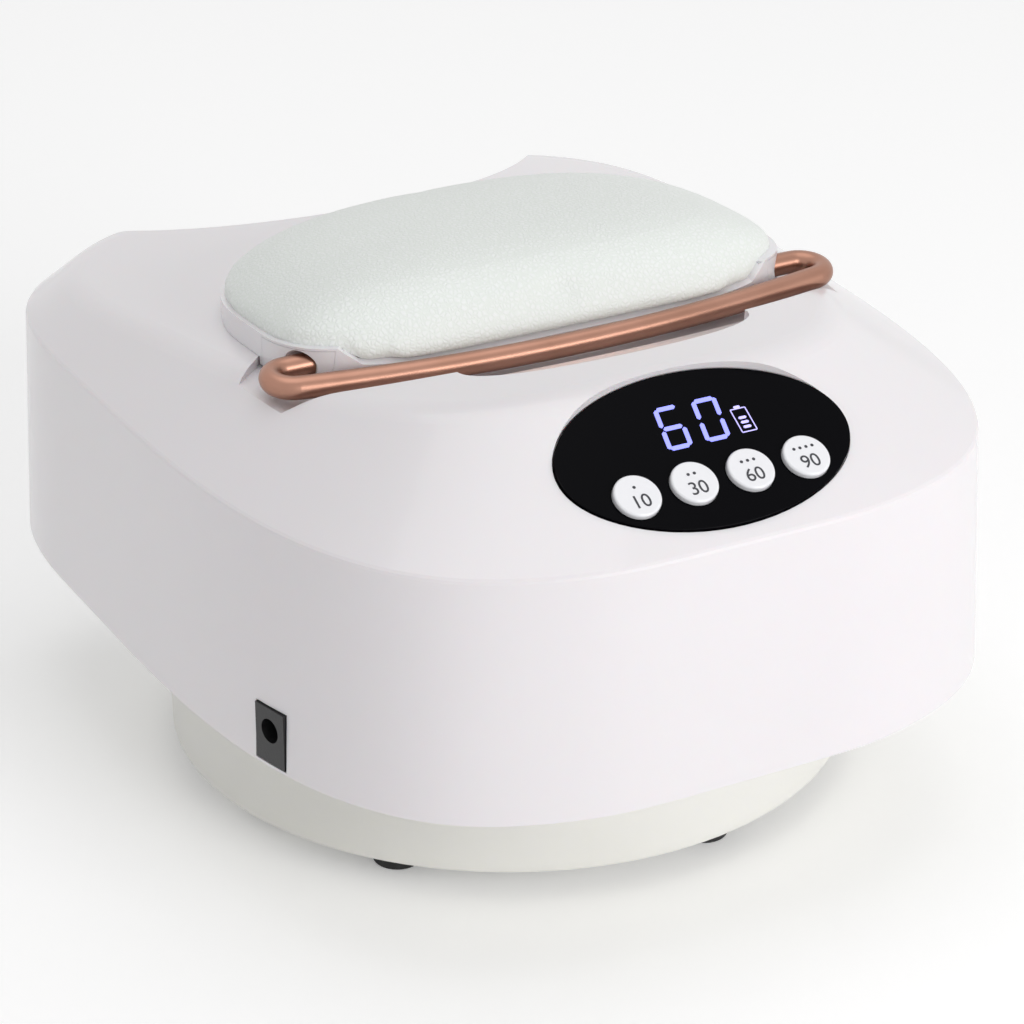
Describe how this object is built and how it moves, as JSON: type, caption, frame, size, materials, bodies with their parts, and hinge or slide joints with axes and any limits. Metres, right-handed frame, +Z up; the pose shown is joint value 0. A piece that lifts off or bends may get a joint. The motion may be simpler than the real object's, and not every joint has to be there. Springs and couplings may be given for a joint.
{
  "type": "nail lamp",
  "caption": "Cordless gel nail lamp with a hand opening, an oval control panel, press buttons, a leather hand cushion and a swinging rose gold carrying handle",
  "frame": {"origin": "on the table, under the middle of the outer shell's footprint", "axes": "+Z up, control panel towards -Y, hand opening towards +Y, +X to the viewer's right when facing the panel"},
  "size_m": [0.214, 0.2314, 0.1445],
  "materials": {
    "shell_white": "glossy pinkish white injection-moulded plastic",
    "drum_white": "satin milky cream plastic",
    "reflector": "glossy white reflector plastic",
    "black_rubber": "matt black rubber",
    "magnet": "nickel plating",
    "board_green": "solder-masked circuit board",
    "led_lens": "clear lamp resin",
    "panel_black": "glossy black plastic",
    "button_white": "glossy white plastic",
    "black_plastic": "satin black plastic",
    "pin_metal": "nickel plating",
    "cell_wrap": "shrink-wrapped steel cell",
    "rose_metal": "satin rose gold anodised metal",
    "bush_nylon": "natural nylon",
    "board_tan": "plain fibreboard",
    "cushion_leather": "pebbled pale mint white leather",
    "screw_steel": "zinc-plated steel"
  },
  "bodies": {
    "tray": {"bottom_tray": "drum_white", "tray_bosses": "drum_white", "rubber_feet": "black_rubber", "tray_magnets": "magnet"},
    "lamp": {"outer_shell": "shell_white", "base_drum": "drum_white", "inner_reflector": "reflector", "entry_sleeve": "reflector", "body_magnets": "magnet", "ceiling_led_board": "board_green", "side_led_board_left": "board_green", "side_led_board_right": "board_green", "ceiling_leds": "led_lens", "side_leds_left": "led_lens", "side_leds_right": "led_lens", "hand_sensor": "black_plastic", "display_panel": "panel_black", "display_module": "black_plastic", "control_board": "board_green", "tact_switches": "black_plastic", "dc_jack": "black_plastic", "jack_pin": "pin_metal", "battery_cells": "cell_wrap", "battery_holder": "black_plastic", "battery_strap": "black_plastic", "handle_bush_left": "bush_nylon", "handle_bush_right": "bush_nylon", "hinge_block_left": "shell_white", "hinge_block_right": "shell_white", "cushion_frame": "shell_white", "cushion_board": "board_tan", "leather_cushion": "cushion_leather", "deck_screws": "screw_steel", "cushion_screws": "screw_steel"},
    "handle": {"handle_bar": "rose_metal"},
    "button_10_cap": {"button_10": "button_white"},
    "button_30_cap": {"button_30": "button_white"},
    "button_60_cap": {"button_60": "button_white"},
    "button_90_cap": {"button_90": "button_white"}
  },
  "joints": [
    {"name": "lamp_lift", "type": "slide", "parent": "tray", "child": "lamp", "axis": [0, 0, 1], "range_m": [0, 0.04]},
    {"name": "handle_hinge", "type": "hinge", "parent": "lamp", "child": "handle", "pos_m": [0, -0.0121, 0.1275], "axis": [-1, 0, 0], "range_deg": [0, 55]},
    {"name": "button_10_press", "type": "slide", "parent": "lamp", "child": "button_10_cap", "axis": [0, 0.5, -0.866], "range_m": [0, 0.0008], "stiffness_N_per_m": 800},
    {"name": "button_30_press", "type": "slide", "parent": "lamp", "child": "button_30_cap", "axis": [0, 0.5, -0.866], "range_m": [0, 0.0008], "stiffness_N_per_m": 800},
    {"name": "button_60_press", "type": "slide", "parent": "lamp", "child": "button_60_cap", "axis": [0, 0.5, -0.866], "range_m": [0, 0.0008], "stiffness_N_per_m": 800},
    {"name": "button_90_press", "type": "slide", "parent": "lamp", "child": "button_90_cap", "axis": [0, 0.5, -0.866], "range_m": [0, 0.0008], "stiffness_N_per_m": 800}
  ]
}
